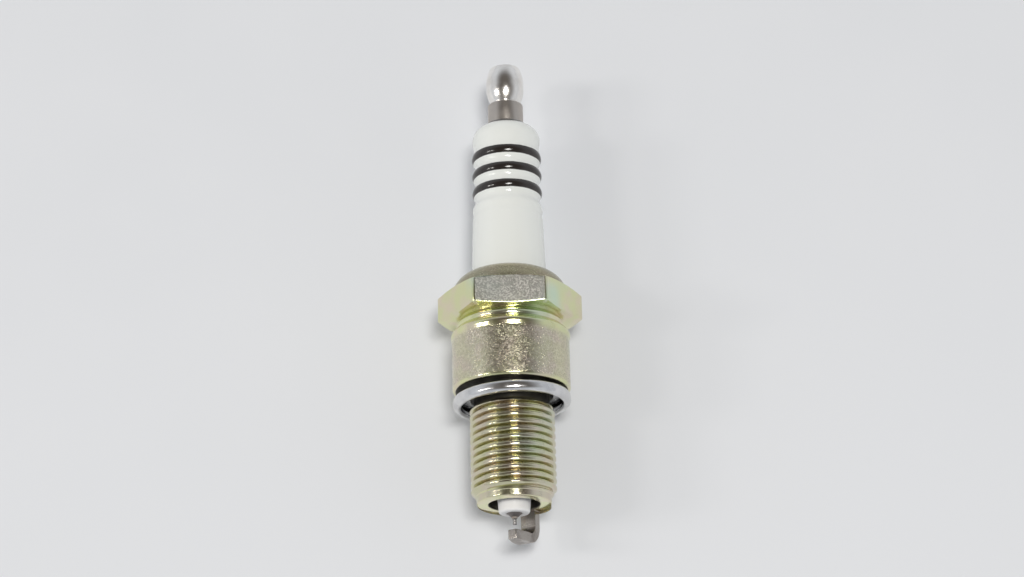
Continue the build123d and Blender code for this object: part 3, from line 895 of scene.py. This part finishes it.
def make_gasket():
    """The crush gasket: thin sheet folded back on itself, lying a little askew on the neck."""
    top = gasket_top - gasket_sheet / 2
    bottom = gasket_top - gasket_height + gasket_sheet / 2
    middle = (top + bottom) / 2
    rim = gasket_outer - gasket_sheet / 2
    fold = gasket_fold + gasket_sheet / 2
    line = rounded(
        [
            (gasket_lip, top, 0),
            (rim, top, 0.6),
            (rim, bottom, 0.6),
            (fold, bottom, 0.25),
            (fold, middle, 0.25),
            (fold + 0.5, middle, 0),
        ],
        steps=8,
    )

    def beside(side):
        """The line shifted half a sheet to one side."""
        shifted = []
        for i, here in enumerate(line):
            before = line[max(i - 1, 0)]
            after = line[min(i + 1, len(line) - 1)]
            along = (after - before).normalized()
            shifted.append(here + Vector((-along.y, along.x)) * side * gasket_sheet / 2)
        return shifted

    bm = turned(beside(1) + beside(-1)[::-1])
    bmesh.ops.rotate(
        bm, verts=bm.verts, cent=(0, middle * MM, 0), matrix=Matrix.Rotation(gasket_tilt, 3, "Z")
    )
    piece("crush_gasket", bm, "washer", ["gasket"], "gasket_steel", gasket_plate)


# --- sealed pieces keep their own shapes ----------------------------------------------------------

sealed = {
    "electrode_core": copper,
    "lower_glass_seal": seal_glass,
    "resistor": resistor_mix,
    "upper_glass_seal": seal_glass,
    "seat_packing": packing_steel,
    "lower_wire_ring": packing_steel,
    "upper_wire_ring": packing_steel,
    "talc_fill": talc,
}
for name, material in sealed.items():
    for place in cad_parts[name].material_slots:
        place.material = material

make_shell()
make_shell_thread()
make_insulator()
make_terminal_nut()
make_stud()
make_centre_electrode()
make_ground_strap()
make_gasket()


# --- floor, light and camera ----------------------------------------------------------------------


def make_floor():
    """A plain pale floor."""
    bm = bmesh.new()
    bmesh.ops.create_grid(bm, x_segments=1, y_segments=1, size=1.5)
    bmesh.ops.translate(bm, verts=bm.verts, vec=(0, 0, floor_height))
    mesh = bpy.data.meshes.new("floor")
    bm.to_mesh(mesh)
    bm.free()
    material, tree, shader = metal_or_ceramic("pale_floor", 0.0)
    place = add(tree, "ShaderNodeTexCoord").outputs["Object"]
    cloud = add(tree, "ShaderNodeTexNoise", {"Vector": place, "Scale": 30.0, "Detail": 2.0}).outputs[0]
    colour = mixed(tree, cloud, (0.77, 0.79, 0.825, 1), (0.80, 0.815, 0.845, 1))
    paint(tree, shader, colour, spread(tree, cloud, 0.3, 0.7, 0.5, 0.6))
    mesh.materials.append(material)
    floor = bpy.data.objects.new("floor", mesh)
    bpy.context.collection.objects.link(floor)


def soft_box(name, bearing, tilt, distance, width, depth, power, colour):
    """A rectangular light above the plug, aimed at it. bearing leans it to +X, and tilt leans it to +Y."""
    data = bpy.data.lights.new(name, "AREA")
    data.shape = "RECTANGLE"
    data.size = width
    data.size_y = depth
    data.energy = power
    data.color = colour
    light = bpy.data.objects.new(name, data)
    way = Vector((tan(radians(bearing)), tan(radians(tilt)), 1)).normalized()
    light.location = aim + way * distance
    light.rotation_euler = way.to_track_quat("Z", "Y").to_euler()
    bpy.context.collection.objects.link(light)


aim = Vector((0.00043, 0.01796, 0))

make_floor()
soft_box("key", 5.5, -6, 1.0, 0.30, 0.25, 5.2, (1.0, 0.985, 0.95))
soft_box("side_lamp", -47, -6, 1.0, 0.13, 0.13, 0.9, (1.0, 0.97, 0.92))
soft_box("far_lamp", -60, -6, 1.0, 0.13, 0.13, 0.9, (1.0, 0.97, 0.92))

world = bpy.data.worlds.new("room")
world.use_nodes = True
room = world.node_tree
direction = add(room, "ShaderNodeTexCoord").outputs["Generated"]
upward = add(room, "ShaderNodeSeparateXYZ", {0: direction}).outputs["Z"]
walls = mixed(room, spread(room, upward, 0.35, 0.9), (0.62, 0.64, 0.67, 1), (0.10, 0.088, 0.078, 1))
room.links.new(walls, room.nodes["Background"].inputs["Color"])
bpy.context.scene.world = world
bpy.context.scene.view_settings.view_transform = "Standard"

camera_data = bpy.data.cameras.new("camera")
camera_data.lens = 88.6
camera_data.sensor_width = 36.0
camera_data.clip_start = 0.01
camera = bpy.data.objects.new("camera", camera_data)
camera_distance = 0.4174
camera_height = radians(70)
camera_bearing = radians(-1.24)
outward = Vector(
    (
        sin(camera_bearing) * cos(camera_height),
        -cos(camera_bearing) * cos(camera_height),
        sin(camera_height),
    )
)
camera.location = aim + outward * camera_distance
camera.rotation_euler = (pi / 2 - camera_height, 0, camera_bearing)
bpy.context.collection.objects.link(camera)
bpy.context.scene.camera = camera

bpy.context.view_layer.update()
